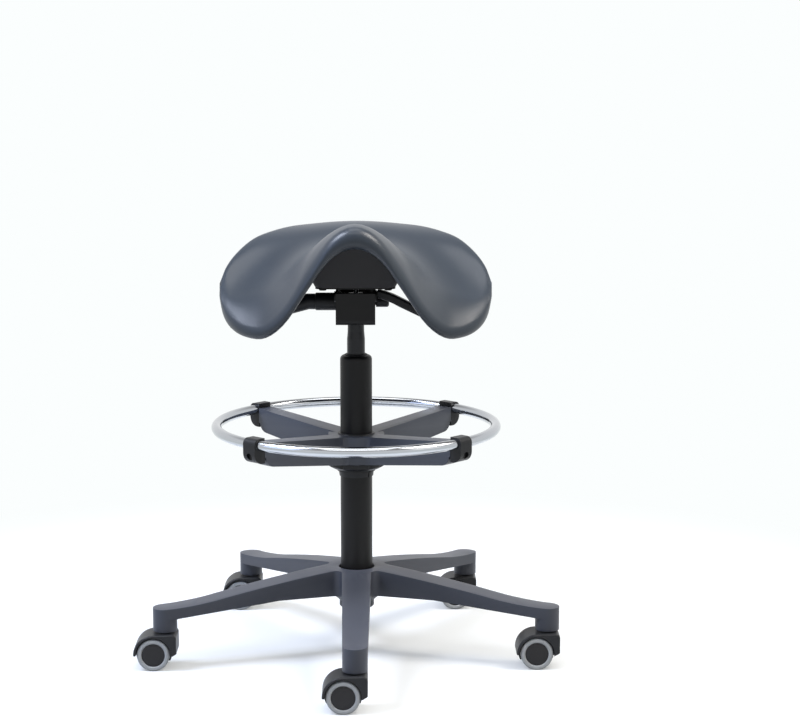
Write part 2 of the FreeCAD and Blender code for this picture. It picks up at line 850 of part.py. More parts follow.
def ring_collet():
    """Split sleeve that the twist ring squeezes onto the column."""
    collet = body("ring_collet", turn=arm_turn)
    top = arm_top + 0.4
    shelf = arm_under - 0.3 - lock_height - 0.3
    spin(collet, "XZ_Plane", [
        (collet_bore, collet_foot),
        (collet_radius - 1.5, collet_foot),
        (collet_radius - 0.3, shelf - 4),
        (collet_radius + 2, shelf - 4),
        (collet_radius + 2, shelf),
        (collet_radius, shelf),
        (collet_radius, top),
        (collet_radius + 1.2, top),
        (collet_radius + 0.2, top + 1.4),
        (collet_bore, top + 1.4),
    ])
    slits = sketch_on(collet, "YZ_Plane")
    trace(slits, [(-1, collet_foot - 1), (1, collet_foot - 1), (1, arm_under), (-1, arm_under)])
    slit = pad(collet, slits, 4 * collet_radius, both=True, cut=True)
    turning = sketch_on(collet, "XY_Plane")
    rings(turning, [(0, 0, collet_bore)])
    repeat(collet, slit, turning, 2)
    return collet


def ring_lock():
    """Twist ring under the spider, with finger scallops in its rim."""
    lock = body("ring_lock")
    top = arm_under - 0.3
    low = top - lock_height
    bore = collet_radius + 0.3
    spin(lock, "XZ_Plane", [
        (bore, low),
        (lock_radius - 8, low),
        (lock_radius - 1, low + 4),
        (lock_radius, low + 6),
        (lock_radius, top),
        (bore, top),
    ])
    scallops = sketch_on(lock, "XY_Plane", low - 1)
    rings(scallops, [(lock_radius + 5, 0, 6.5)])
    scallop = pad(lock, scallops, lock_height + 2, cut=True, back=True)
    repeat(lock, scallop, scallops, 12)
    return lock


# Tilt mechanism: a folded steel housing on the lift's taper, with the seat plate hinged to it
housing_width = size("housing_width", 60.5, "outside of the housing")
housing_front = size("housing_front", 70, "front wall ahead of the column")
housing_rear = size("housing_rear", 70, "rear wall behind the column")
housing_wall = size("housing_wall", 3, "sheet of the housing")
housing_bend = size("housing_bend", 9, "outside of the sheet's bends")
plate_thick = size("plate_thick", 3, "seat plate")
plate_width = size("plate_width", 122, "seat plate across")
plate_front = size("plate_front", 86, "front edge of the seat plate")
plate_rear = size("plate_rear", 96, "rear edge of the seat plate")
pivot_ahead = size("pivot_ahead", 42, "tilt pin ahead of the column")
pivot_below = size("pivot_below", 16, "tilt pin below the seat plate")
pivot_radius = size("pivot_radius", 5, "tilt pin")
clamp_behind = size("clamp_behind", 38, "clamp shaft behind the column")
clamp_below = size("clamp_below", 34, "clamp shaft below the seat plate")
clamp_radius = size("clamp_radius", 6, "clamp shaft")
ear_gap = size("ear_gap", 1, "seat plate's ears to the housing")
ear_thick = size("ear_thick", 3, "ears of the seat plate")
socket_radius = size("socket_radius", 17.5, "taper socket in the housing")

inside = housing_width / 2 - housing_wall
ear_outer = inside - ear_gap
ear_inner = ear_outer - ear_thick
pivot_level = plate_foot - pivot_below
clamp_level = plate_foot - clamp_below


def taper_radius_at(height):
    """Radius of the lift's taper."""
    share = (height - taper_foot) / (taper_top - taper_foot)
    return taper_foot_radius + (taper_top_radius - taper_foot_radius) * share


def mechanism_housing():
    housing = body("mechanism_housing")
    side = sketch_on(housing, "YZ_Plane")
    bend = housing_bend
    front_top = plate_foot - 9
    hinge_top = plate_foot - 2.5
    rear_top = plate_foot - 13
    trace(side, [
        (-housing_front, housing_foot + bend),
        (bend - housing_front, housing_foot, bend),
        (housing_rear - bend, housing_foot),
        (housing_rear, housing_foot + bend, bend),
        (housing_rear, rear_top),
        (6 - pivot_ahead, hinge_top),
        (-housing_front, front_top),
    ])
    pad(housing, side, housing_width, both=True)
    hollow = sketch_on(housing, "YZ_Plane")
    wall = housing_wall
    inner_bend = bend - wall
    trace(hollow, [
        (wall - housing_front, housing_foot + bend),
        (bend - housing_front, housing_foot + wall, inner_bend),
        (housing_rear - bend, housing_foot + wall),
        (housing_rear - wall, housing_foot + bend, inner_bend),
        (housing_rear - wall, plate_foot + 5),
        (wall - housing_front, plate_foot + 5),
    ])
    pad(housing, hollow, 2 * inside, both=True, cut=True)
    shafts = sketch_on(housing, "YZ_Plane")
    rings(shafts, [
        (-pivot_ahead, pivot_level, pivot_radius),
        (clamp_behind, clamp_level, clamp_radius + running_gap),
    ])
    pad(housing, shafts, housing_width + 2, both=True, cut=True)
    spin(housing, "XZ_Plane", [
        (0, housing_foot - 1),
        (socket_radius, housing_foot - 1),
        (socket_radius, housing_foot + wall + 1),
        (0, housing_foot + wall + 1),
    ], cut=True)
    notch = sketch_on(housing, "YZ_Plane", inside - 2)
    reach = lever_width / 2 + 2
    trace(notch, [
        (-reach, lever_level - 13),
        (reach, lever_level - 13),
        (reach, plate_foot),
        (-reach, plate_foot),
    ])
    pad(housing, notch, wall + 4, cut=True, back=True)
    lugs(housing)
    return housing


def lugs(housing):
    """Two ears inside the right wall that carry the height lever."""
    out = lever_width / 2 + 4.5
    inn = lever_width / 2 + 0.5
    boss = trunnion_radius + 3
    for side in (-1, 1):
        lug = sketch_on(housing, "XZ_Plane", -side * (out + inn) / 2)
        trace(lug, [
            (lever_ahead, lever_level - boss, boss),
            (inside + 1, lever_level - boss - 5),
            (inside + 1, lever_level + boss),
            (lever_ahead, lever_level + boss),
            (lever_ahead - boss, lever_level, boss),
        ])
        pad(housing, lug, out - inn, both=True)
    hole = sketch_on(housing, "XZ_Plane")
    rings(hole, [(lever_ahead, lever_level, trunnion_radius + running_gap)])
    pad(housing, hole, 2 * out + 1, both=True, cut=True)


def taper_socket():
    socket = body("taper_socket")
    low = housing_foot - 2
    high = taper_top - 5
    spin(socket, "XZ_Plane", [
        (taper_radius_at(low), low),
        (socket_radius - 1, low),
        (socket_radius, low + 1),
        (socket_radius, high - 1),
        (socket_radius - 1, high),
        (taper_radius_at(high), high),
    ])
    return socket


def cross_pin(name, ahead, level, radius, left, right, head):
    """A headed pin across the mechanism."""
    pin = body(name, 0, ahead, level)
    spin(pin, "XZ_Plane", [
        (-left - 2.5, 0),
        (right + 2.5, 0),
        (right + 2.5, head),
        (right, head),
        (right, radius),
        (-left, radius),
        (-left, head),
        (-left - 2.5, head),
    ], axis="H_Axis")
    return pin


def tilt_pin():
    side = housing_width / 2
    return cross_pin("tilt_pin", -pivot_ahead, pivot_level, pivot_radius, side, side, pivot_radius + 3)


def seat_plate():
    plate = body("seat_plate")
    flat = sketch_on(plate, "XY_Plane", plate_foot)
    half = plate_width / 2
    trace(flat, [(-half, -plate_front), (half, -plate_front), (half, plate_rear), (-half, plate_rear)])
    pad(plate, flat, plate_thick)
    soften(plate, 12, upright)
    front = sketch_on(plate, "YZ_Plane")
    boss = pivot_radius + 6
    trace(front, [
        (-boss - pivot_ahead, pivot_level),
        (-pivot_ahead, pivot_level - boss, boss),
        (boss - pivot_ahead, pivot_level, boss),
        (boss - pivot_ahead, plate_foot + 1),
        (-boss - pivot_ahead, plate_foot + 1),
    ])
    pad(plate, front, 2 * ear_outer, both=True)
    rear = sketch_on(plate, "YZ_Plane")
    prong = clamp_level - 11
    wide = clamp_radius + 8
    trace(rear, [
        (clamp_behind - wide - 2, prong),
        (clamp_behind + wide, prong),
        (clamp_behind + wide, plate_foot + 1),
        (clamp_behind - wide - 2, plate_foot + 1),
    ])
    pad(plate, rear, 2 * ear_outer, both=True)
    between = sketch_on(plate, "YZ_Plane")
    trace(between, [
        (-plate_front, prong - 20),
        (plate_rear, prong - 20),
        (plate_rear, plate_foot),
        (-plate_front, plate_foot),
    ])
    pad(plate, between, 2 * ear_inner, both=True, cut=True)
    pivot = sketch_on(plate, "YZ_Plane")
    rings(pivot, [(-pivot_ahead, pivot_level, pivot_radius + running_gap)])
    pad(plate, pivot, 3 * ear_outer, both=True, cut=True)
    slot = sketch_on(plate, "YZ_Plane")
    trace(slot, slot_outline(prong))
    pad(plate, slot, 3 * ear_outer, both=True, cut=True)
    holes = sketch_on(plate, "XY_Plane", plate_foot - 1)
    rings(holes, [(x, y, bolt_radius + 0.3) for x, y in bolt_spots()])
    pad(plate, holes, plate_thick + 2, cut=True, back=True)
    return plate


def slot_outline(prong):
    """Slot for the clamp shaft, open below, between two circles about the tilt pin."""
    drop = pivot_level - clamp_level
    arm = root((clamp_behind + pivot_ahead) * (clamp_behind + pivot_ahead) + drop * drop)
    outer = arm + clamp_radius + 0.5
    inner = arm - clamp_radius - 0.5
    low = prong - 2
    top = clamp_level + 15

    def behind(radius, level):
        return root(radius * radius - (pivot_level - level) * (pivot_level - level)) - pivot_ahead

    return [
        (behind(inner, low), low, -inner),
        (behind(outer, low), low),
        (behind(outer, top), top, outer),
        (behind(inner, top), top),
    ]


# Height lever, on the right, which presses the lift's button
lever_ahead = size("lever_ahead", 19, "height lever's pivot beside the column")
lever_below = size("lever_below", 14, "lever's pivot below the seat plate")
lever_width = size("lever_width", 14, "height lever across")
trunnion_radius = size("trunnion_radius", 3, "pivot stubs of the height lever")
grip_width = size("grip_width", 20, "height lever's grip across")
grip_thick = size("grip_thick", 13.5, "height lever's grip")
grip_reach = size("grip_reach", 160, "end of the height lever's grip")
grip_fall = size("grip_fall", 60, "end of the grip below its pivot")
grip_start = size("grip_start", 34, "inner end of the grip")
tongue_reach = size("tongue_reach", 66, "steel tongue inside the grip")
tongue_fall = size("tongue_fall", 16, "end of the tongue below the pivot")
grip_under_bend = size("grip_under_bend", 120, "curve under the grip's inner end")
grip_top_bend = size("grip_top_bend", 130, "curve on top of the grip's inner end")

lever_level = plate_foot - lever_below


def tongue_outline():
    """Part of the height lever that reaches into its grip."""
    return [
        (grip_start, lever_level - 8),
        (tongue_reach, lever_level - tongue_fall - 3),
        (tongue_reach, lever_level - tongue_fall + 3),
        (grip_start, lever_level + 1),
    ]


def height_lever():
    lever = body("height_lever")
    side = sketch_on(lever, "XZ_Plane")
    trace(side, [
        (-4, valve_top + 0.2),
        (7, valve_top + 0.2),
        (lever_ahead - 7, lever_level - 1),
        (lever_ahead - 0.5, lever_level - 3.4),
        (grip_start, lever_level - 8),
        (grip_start, lever_level + 1),
        (lever_ahead + 4, lever_level + 6),
        (8, valve_top + 4.7),
        (-4, valve_top + 4.7),
    ])
    pad(lever, side, lever_width, both=True)
    tongue = sketch_on(lever, "XZ_Plane")
    trace(tongue, tongue_outline())
    pad(lever, tongue, lever_width - 4, both=True)
    stubs = sketch_on(lever, "XZ_Plane")
    rings(stubs, [(lever_ahead, lever_level, trunnion_radius)])
    pad(lever, stubs, lever_width + 8, both=True)
    return lever


def height_grip():
    grip = body("height_grip")
    side = sketch_on(grip, "XZ_Plane")
    start = grip_start + 0.01
    end_level = lever_level - grip_fall
    drop = grip_thick
    trace(side, [
        (start, lever_level - 9.5),
        (tongue_reach, lever_level - tongue_fall - 6.5, -grip_under_bend),
        (grip_reach - 4, end_level - 6),
        (grip_reach + 2, end_level + 5, 6.5),
        (tongue_reach + 3, lever_level - tongue_fall - 6 + drop),
        (start, lever_level + 4, grip_top_bend),
    ])
    pad(grip, side, grip_width, both=True)
    soften(grip, 4, lambda edge: abs(edge.BoundBox.YMin - edge.BoundBox.YMax) < 0.01
           and edge.BoundBox.XMax - edge.BoundBox.XMin > 1)
    tongue = sketch_on(grip, "XZ_Plane")
    trace(tongue, tongue_outline())
    pad(grip, tongue, lever_width - 4, both=True, cut=True)
    return grip


# Tilt lever, on the left, whose shaft clamps the ears of the seat plate
sleeve_radius = size("sleeve_radius", 14, "round inner part of the tilt lever's handle")
sleeve_inner = size("sleeve_inner", 31, "inner end of the handle from the centre plane")
sleeve_outer = size("sleeve_outer", 64, "outer end of the round part")
crank_radius = size("crank_radius", 5, "rod of the tilt lever")
crank_bend = size("crank_bend", 30, "bend of the tilt lever's rod")
crank_reach = size("crank_reach", 193, "end of the tilt lever")
elbow_radius = size("elbow_radius", 12.5, "handle at its bend")
tip_radius = size("tip_radius", 7, "handle at its tip")
crank_fall = size("crank_fall", 37, "end of the tilt lever below its shaft")
knob_radius = size("knob_radius", 9, "cap on the clamp shaft's right end")
knob_outer = size("knob_outer", 52, "outer end of the cap")


def crank_ends():
    """Corner of the bent bar, its tip, and the heading from the one to the other."""
    corner = Vector(-float(sleeve_outer) - 12, float(clamp_behind), float(clamp_level))
    tip = Vector(-float(crank_reach), float(clamp_behind), float(clamp_level) - float(crank_fall))
    return corner, tip, (tip - corner).normalize()


def tilt_lever():
    """Clamp shaft and its cranked rod, one bent bar."""
    corner, tip, slope = crank_ends()
    start = corner + Vector(12, 0, 0)
    across = Vector(1, 0, 0)
    bar = Part.makeCylinder(float(clamp_radius), float(knob_outer) - 8 - start.x, start, across)
    bend = float(crank_bend)
    back = bend * math.tan(math.acos(-slope.x) / 2)
    first = corner + across * back
    second = corner + slope * back
    centre = first + Vector(0, 0, -bend)
    middle = centre + (corner - centre).normalize() * bend
    path = Part.Wire([
        Part.LineSegment(start + across * 4, first).toShape(),
        Part.Arc(first, middle, second).toShape(),
        Part.LineSegment(second, tip).toShape(),
    ])
    ring = Part.Wire([Part.makeCircle(float(crank_radius), start + across * 4, across)])
    rod = path.makePipeShell([ring], True, False)
    return solid("tilt_lever", bar.fuse(rod).removeSplitter())


def tilt_sleeve(bar):
    """Moulded handle over the bar: round at the housing, thick at the bend, thinner to its tip."""
    corner, tip, slope = crank_ends()
    wide = float(elbow_radius)
    narrow = float(tip_radius)
    out = Vector(-1, 0, 0)
    inner = Vector(-float(sleeve_inner), corner.y, corner.z)
    hub = Part.makeCylinder(float(sleeve_radius), float(sleeve_outer - sleeve_inner), inner, out)
    hub = hub.makeFillet(1.5, [edge for edge in hub.Edges if edge.Closed and len(edge.Vertexes) == 1])
    neck = Part.makeCylinder(wide, -corner.x - float(sleeve_outer) + 2, corner, Vector(1, 0, 0))
    elbow = Part.makeSphere(wide, corner)
    grip = Part.makeCone(wide, narrow, (tip - corner).Length, corner, slope)
    end = Part.makeSphere(narrow, tip)
    return solid("tilt_sleeve", hub.fuse([neck, elbow, grip, end]).removeSplitter().cut(bar))


def clamp_knob():
    knob = body("clamp_knob", 0, clamp_behind, clamp_level)
    inner = housing_width / 2 + 1
    end = knob_outer - 8
    spin(knob, "XZ_Plane", [
        (inner, clamp_radius),
        (end, clamp_radius),
        (end, 0),
        (knob_outer, 0),
        (knob_outer, knob_radius - 4),
        (knob_outer - 4, knob_radius, 4),
        (inner + 1, knob_radius),
        (inner, knob_radius - 1),
    ], axis="H_Axis")
    return knob


# Seat: one padded moulding on a stiff carrier, bolted to the seat plate
seat_half_width = size("seat_half_width", 212, "centre plane to the outside of the seat")
seat_front = size("seat_front", 171, "nose of the seat ahead of the column")
seat_back = size("seat_back", 186, "back of the seat behind the column")
bolt_radius = size("bolt_radius", 3, "bolt of the seat")
bolt_across = size("bolt_across", 100, "bolts across")
bolt_ahead = size("bolt_ahead", 62, "front bolts ahead of the column")
bolt_behind = size("bolt_behind", 74, "rear bolts behind the column")
insert_wall = size("insert_wall", 1.8, "wall of a threaded insert")
insert_height = size("insert_height", 13, "threaded insert in the carrier")
carrier_front = size("carrier_front", 92, "front face of the carrier ahead of the column")
carrier_rear = size("carrier_rear", 118, "rear face of the carrier behind the column")
carrier_foot_width = size("carrier_foot_width", 122, "flat underside of the carrier")
carrier_flare = size("carrier_flare", 30, "how far the carrier's sides lean out to the padding")

# Slices of the saddle from its centre plane to its side. Each row gives the distance from
# the centre plane, the nose's height over the seat plate, how far behind the nose the
# crest lies, the heights of the crest, of the middle, of the rise at the back and of the
# back edge, and the padding's depth in front and behind.
slices = [
    (0, 81, 46, 100, 59, 80, 65, 36, 30),
    (35, 65, 45, 86, 57, 79, 63, 36, 30),
    (70, 13, 38, 49, 48, 76, 60, 36, 30),
    (105, -38, 24, -10, 33, 72, 58, 34, 30),
    (135, -63, 15, -42, 20, 65, 54, 30, 28),
    (163, -66, 12, -48, 9, 55, 46, 27, 27),
    (187, -58, 10, -41, 1, 37, 30, 27, 26),
    (203, -41, 7, -29, -4, 17, 13, 24, 22),
    (211, -20, 3, -16, -10, -4, -6, 7, 7),
]
slice_count = 13


def between(rows, place):
    """A slice at any distance, on a smooth curve through the given ones."""
    last = len(rows) - 1
    index = max(i for i, row in enumerate(rows) if row[0] <= place or i == 0)
    index = min(index, last - 1)
    below = rows[index]
    above = rows[index + 1]
    share = (place - below[0]) / (above[0] - below[0])
    values = []
    for column in range(1, len(below)):
        def slope(i):
            if i == 0:
                return 0
            j = min(i + 1, last)
            return (rows[j][column] - rows[i - 1][column]) / (rows[j][0] - rows[i - 1][0])
        step = above[0] - below[0]
        a = 2 * share**3 - 3 * share**2 + 1
        b = share**3 - 2 * share**2 + share
        c = 3 * share**2 - 2 * share**3
        d = share**3 - share**2
        value = a * below[column] + c * above[column]
        values.append(value + step * (b * slope(index) + d * slope(index + 1)))
    return values


def outline_back(share):
    return float(seat_back) * (1 - share**2.4) ** (1 / 1.7)


def outline_front(share):
    return -float(seat_front) * math.sqrt(1 - share**1.5)


def slice_share(index):
    """Place of a slice as a share of the half width, closer together towards the sides."""
    return math.sin(math.radians(88 * index / slice_count))


def slice_points(share):
    """Places and headings round one slice of the seat: nose, top, back and underside."""
    stored = share / slice_share(slice_count) * slices[-1][0]
    nose, setback, crest, middle, rise, back, front_pad, back_pad = between(slices, stored)
    lift = float(plate_foot + plate_thick)
    front_y = outline_front(share)
    back_y = outline_back(share)
    length = back_y - front_y
    crest_y = front_y + setback
    middle_y = front_y + 0.52 * length
    rise_y = back_y - 0.10 * length
    fall = math.atan2(middle - crest, middle_y - crest_y)
    climb = math.atan2(rise - middle, rise_y - middle_y)
    fade = min(1, max(0, (1 - share) / 0.06))
    crest_turn = min(fall + math.radians(14) * fade, math.atan2(crest - nose, setback) - math.radians(1))
    rise_turn = climb - math.radians(12) * fade
    middle_turn = (fall + climb) / 2
    top = [
        (crest_y, crest + lift, crest_turn, front_pad),
        (middle_y, middle + lift, middle_turn, (front_pad + back_pad) / 2),
        (rise_y, rise + lift, rise_turn, back_pad),
    ]
    points = [(front_y, nose + lift, math.pi / 2)]
    points += [(y, z, turn) for y, z, turn, depth in top]
    points.append((back_y, back + lift, -math.pi / 2))
    for y, z, turn, depth in reversed(top):
        points.append((y + depth * math.sin(turn), z - depth * math.cos(turn), turn + math.pi))
    return points


def meeting_point(start, end):
    """Where two arcs meet that leave one point and reach the next with the given headings."""
    a = Vector(math.cos(start[2]), math.sin(start[2]), 0)
    b = Vector(math.cos(end[2]), math.sin(end[2]), 0)
    gap = Vector(end[0] - start[0], end[1] - start[1], 0)
    sum_turn = a + b
    along = gap.dot(sum_turn)
    bend = 1 - a.dot(b)
    if bend < 1e-9:
        reach = gap.dot(gap) / (2 * along)
    else:
        reach = (math.sqrt(along**2 + 2 * bend * gap.dot(gap)) - along) / (2 * bend)
    return ((start[0] + end[0] + reach * (a.x - b.x)) / 2, (start[1] + end[1] + reach * (a.y - b.y)) / 2)


def slice_arc(x, start, end, heading, leaving):
    """Arc in a slice that leaves the start, or reaches the end, with the heading."""
    across = end[0] - start[0]
    up = end[1] - start[1]
    chord = math.hypot(across, up)
    turn = heading - math.atan2(up, across)
    turn = turn if leaving else -turn
    turn = (turn + math.pi) % (2 * math.pi) - math.pi
    sagitta = chord / 2 * math.tan(turn / 2)
    middle = ((start[0] + end[0]) / 2 - up / chord * sagitta, (start[1] + end[1]) / 2 + across / chord * sagitta)
    a = Vector(x, start[0], start[1])
    b = Vector(x, end[0], end[1])
    if abs(sagitta) < 1e-3:
        return Part.LineSegment(a, b).toShape()
    return Part.Arc(a, Vector(x, middle[0], middle[1]), b).toShape()


def slice_wire(share):
    x = share * float(seat_half_width)
    points = slice_points(abs(share))
    edges = []
    for index, start in enumerate(points):
        end = points[(index + 1) % len(points)]
        joint = meeting_point(start, end)
        edges.append(slice_arc(x, start, joint, start[2], True))
        edges.append(slice_arc(x, joint, end, end[2], False))
    return Part.Wire(edges)


def saddle_shape():
    """The whole padding as one ruled loft through its slices."""
    shares = [slice_share(index) for index in range(slice_count + 1)]
    wires = [slice_wire(-share) for share in reversed(shares[1:])] + [slice_wire(share) for share in shares]
    return Part.makeLoft(wires, True, True)


def bolt_spots():
    half = bolt_across / 2
    return [(-half, -bolt_ahead), (half, -bolt_ahead), (half, bolt_behind), (-half, bolt_behind)]


def carrier_shape(padding):
    """Block with leaning sides under the padding, cut to fit it and bored for the inserts."""
    low = float(plate_foot) + float(plate_thick)
    high = low + 110
    foot = float(carrier_foot_width) / 2
    flare = float(carrier_flare)
    front = -float(carrier_front)
    rear = float(carrier_rear)

    def ring(level, half, inset):
        corner = 14
        y0 = front + inset
        y1 = rear - inset
        spots = [
            Vector(-half, y0, level),
            Vector(half, y0, level),
            Vector(half, y1, level),
            Vector(-half, y1, level),
        ]
        flat = Part.Face(Part.makePolygon(spots + [spots[0]]))
        prism = flat.extrude(Vector(0, 0, 1))
        edges = [edge for edge in prism.Edges if upright(edge)]
        return prism.makeFillet(corner, edges).Faces, level

    def outline(level, half, inset):
        faces, height = ring(level, half, inset)
        bottom = [face for face in faces if face.BoundBox.ZLength < 0.01 and abs(face.BoundBox.ZMin - height) < 0.01]
        return bottom[0].OuterWire

    block = Part.makeLoft([outline(low, foot, 0), outline(high, foot + flare * 2, -flare)], True, True)
    kept = block.cut(padding).Solids
    kept = min(kept, key=lambda part: part.BoundBox.ZMin)
    wall = float(bolt_radius) + float(insert_wall)
    for x, y in bolt_spots():
        spot = Vector(float(x), float(y), low)
        kept = kept.cut(Part.makeCylinder(wall, float(insert_height) + 3, spot))
    return kept


def bolt_group(name, maker):
    """The four bolts or inserts of the seat as one node of separate solids."""
    return solid(name, Part.makeCompound([maker(float(x), float(y)) for x, y in bolt_spots()]))


def one_insert(x, y):
    low = float(plate_foot) + float(plate_thick)
    outer = float(bolt_radius) + float(insert_wall)
    barrel = Part.makeCylinder(outer, float(insert_height), Vector(x, y, low))
    return barrel.cut(Part.makeCylinder(float(bolt_radius), float(insert_height), Vector(x, y, low)))


def one_bolt(x, y):
    low = float(plate_foot)
    washer = Part.makeCylinder(float(bolt_radius) + 3, 1.2, Vector(x, y, low - 1.2))
    head = Part.makePolygon([
        Vector(x + 5.6 * math.cos(math.radians(60 * i)), y + 5.6 * math.sin(math.radians(60 * i)), low - 4.2)
        for i in range(7)
    ])
    head = Part.Face(head).extrude(Vector(0, 0, 3))
    length = float(plate_thick) + float(insert_height) - 1
    shank = Part.makeCylinder(float(bolt_radius), length, Vector(x, y, low))
    return washer.fuse([head, shank]).removeSplitter()


# The stool, piece by piece
base_star()
caster_stems()
for number, angle in enumerate(leg_spots(), 1):
    x, y = at_leg(angle)
    axle_x, axle_y = at_leg(angle, -caster_trail)
    caster_hood(f"caster_hood_{number}", x, y)
    caster_axle(f"caster_axle_{number}", axle_x, axle_y)
    for side, turn in (("a", 180), ("b", 0)):
        caster_wheel(f"wheel_{number}{side}", axle_x, axle_y, turn)
        caster_tyre(f"tyre_{number}{side}", axle_x, axle_y, turn)
stand_tube()
guide_bush()
thrust_bearing()
thrust_washer()
rubber_buffer()
rod_clip()
piston_rod()
gas_cylinder()
valve_button()
foot_ring()
ring_spider()
ring_clips()
clip_screws()
ring_collet()
ring_lock()
mechanism_housing()
taper_socket()
tilt_pin()
seat_plate()
height_lever()
height_grip()
lever_bar = tilt_lever()
tilt_sleeve(lever_bar.Shape)
clamp_knob()
saddle = saddle_shape()
solid("seat_cushion", saddle)
solid("seat_shell", carrier_shape(saddle))
bolt_group("seat_inserts", one_insert)
bolt_group("seat_bolts", one_bolt)

doc.recompute()
for thing in doc.Objects:
    if "Invalid" in thing.State or "Error" in thing.State:
        raise RuntimeError(f"{thing.Name} failed: {thing.State}")
for piece in pieces:
    if piece.Shape.isNull() or not piece.Shape.isValid():
        raise RuntimeError(f"{piece.Label} has no valid shape")

os.makedirs("parts", exist_ok=True)
for piece in pieces:
    piece.Shape.exportStep(os.path.join("parts", f"{piece.Label}.step"))
    print(piece.Label, len(piece.Shape.Solids), round(piece.Shape.Volume))
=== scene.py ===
import math

import bmesh
import bpy
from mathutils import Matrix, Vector


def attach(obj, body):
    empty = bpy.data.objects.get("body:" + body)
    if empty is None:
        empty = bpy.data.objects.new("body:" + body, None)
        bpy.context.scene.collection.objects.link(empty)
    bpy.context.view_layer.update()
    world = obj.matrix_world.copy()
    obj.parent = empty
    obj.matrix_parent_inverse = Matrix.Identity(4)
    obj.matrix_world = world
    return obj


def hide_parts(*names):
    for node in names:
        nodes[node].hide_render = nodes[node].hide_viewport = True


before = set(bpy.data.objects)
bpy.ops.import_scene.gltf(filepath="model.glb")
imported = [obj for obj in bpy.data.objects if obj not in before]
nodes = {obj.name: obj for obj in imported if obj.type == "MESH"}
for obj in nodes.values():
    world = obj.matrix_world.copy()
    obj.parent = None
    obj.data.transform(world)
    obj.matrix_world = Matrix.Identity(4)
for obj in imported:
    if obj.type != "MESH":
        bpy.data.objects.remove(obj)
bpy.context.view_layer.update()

# Camera
# The stool is seen from straight ahead and a little above, from about three and a
# quarter metres away through a long lens, so its upright lines stay nearly parallel.
CAMERA_PLACE = (0.0315, -3.2778, 0.9763)
CAMERA_DOWN = 8.886
CAMERA_RIGHT = 0.652
FOCAL_PIXELS = 2118.9
IMAGE_WIDTH = 800
SENSOR_WIDTH = 36
CLIP_END = 50

camera_data = bpy.data.cameras.new("camera")
camera = bpy.data.objects.new("camera", camera_data)
bpy.context.collection.objects.link(camera)
camera.location = CAMERA_PLACE
camera.rotation_euler = (math.radians(90 - CAMERA_DOWN), 0, math.radians(-CAMERA_RIGHT))
camera_data.sensor_width = SENSOR_WIDTH
camera_data.lens = SENSOR_WIDTH * FOCAL_PIXELS / IMAGE_WIDTH
camera_data.clip_end = CLIP_END
bpy.context.scene.camera = camera

# Floor and studio
# A white paper sweep with no visible edge. Where it is seen, the paper glows a little
# round the stool, so that it takes soft shadows, and turns to plain white light further
# out. It throws less light back on the stool than it shows.
FLOOR_SIZE = 24.0
FLOOR_COLOUR = "#dcdedf"
FLOOR_GLOW = 0.30
FLOOR_BOUNCE = "#828486"
SHADOW_REACH = (0.45, 1.2)
STUDIO_COLOUR = "#fbfefe"
ROOM_COLOUR = "#e6eaf0"
ROOM_STRENGTH = 0.12
# What bright metal mirrors: white walls up to one height, grey from the other one up.
MIRRORED_WALLS = (0.45, "#ffffff")
MIRRORED_CEILING = (0.75, "#a5a2a0")


def linear(colour):
    """The linear colour of an sRGB hex value."""
    channels = [int(colour[i:i + 2], 16) / 255 for i in (1, 3, 5)]
    channels = [c / 12.92 if c <= 0.04045 else ((c + 0.055) / 1.055) ** 2.4 for c in channels]
    return (*channels, 1.0)


def add(tree, kind, inputs=None, **settings):
    """Add a node with its settings. An input's value is set, or linked where it is a socket."""
    node = tree.nodes.new(kind)
    for name, value in settings.items():
        setattr(node, name, value)
    for name, value in (inputs or {}).items():
        socket = node.inputs[name]
        if isinstance(value, bpy.types.NodeSocket):
            tree.links.new(value, socket)
        else:
            socket.default_value = value
    return node


def either(tree, first, second):
    """A flag that is up when one of two ray flags is."""
    return add(tree, "ShaderNodeMath", {0: first, 1: second}, operation="MAXIMUM").outputs[0]


def new_material(name):
    """A material without nodes, and its node tree."""
    material = bpy.data.materials.new(name)
    material.use_nodes = True
    material.node_tree.nodes.clear()
    return material, material.node_tree


paper, tree = new_material("white_paper_sweep")
rays = add(tree, "ShaderNodeLightPath")
sheet = add(tree, "ShaderNodeBsdfDiffuse", {"Color": linear(FLOOR_COLOUR)})
bounce = add(tree, "ShaderNodeBsdfDiffuse", {"Color": linear(FLOOR_BOUNCE)})
glow = add(tree, "ShaderNodeEmission", {"Color": linear(STUDIO_COLOUR), "Strength": FLOOR_GLOW})
near = add(tree, "ShaderNodeAddShader", {0: sheet.outputs[0], 1: glow.outputs[0]})
plain = add(tree, "ShaderNodeEmission", {"Color": linear(STUDIO_COLOUR), "Strength": 1.0})
place = add(tree, "ShaderNodeTexCoord")
distance = add(tree, "ShaderNodeVectorMath", {0: place.outputs["Object"]}, operation="LENGTH")
fade = add(tree, "ShaderNodeMapRange", {
    "Value": distance.outputs["Value"], "From Min": SHADOW_REACH[0], "From Max": SHADOW_REACH[1],
}, interpolation_type="SMOOTHSTEP")
both = add(tree, "ShaderNodeMixShader", {0: fade.outputs[0], 1: near.outputs[0], 2: plain.outputs[0]})
seen = either(tree, rays.outputs["Is Camera Ray"], rays.outputs["Is Glossy Ray"])
seen = either(tree, seen, rays.outputs["Is Transmission Ray"])
choice = add(tree, "ShaderNodeMixShader", {0: seen, 1: bounce.outputs[0], 2: both.outputs[0]})
add(tree, "ShaderNodeOutputMaterial", {"Surface": choice.outputs[0]})

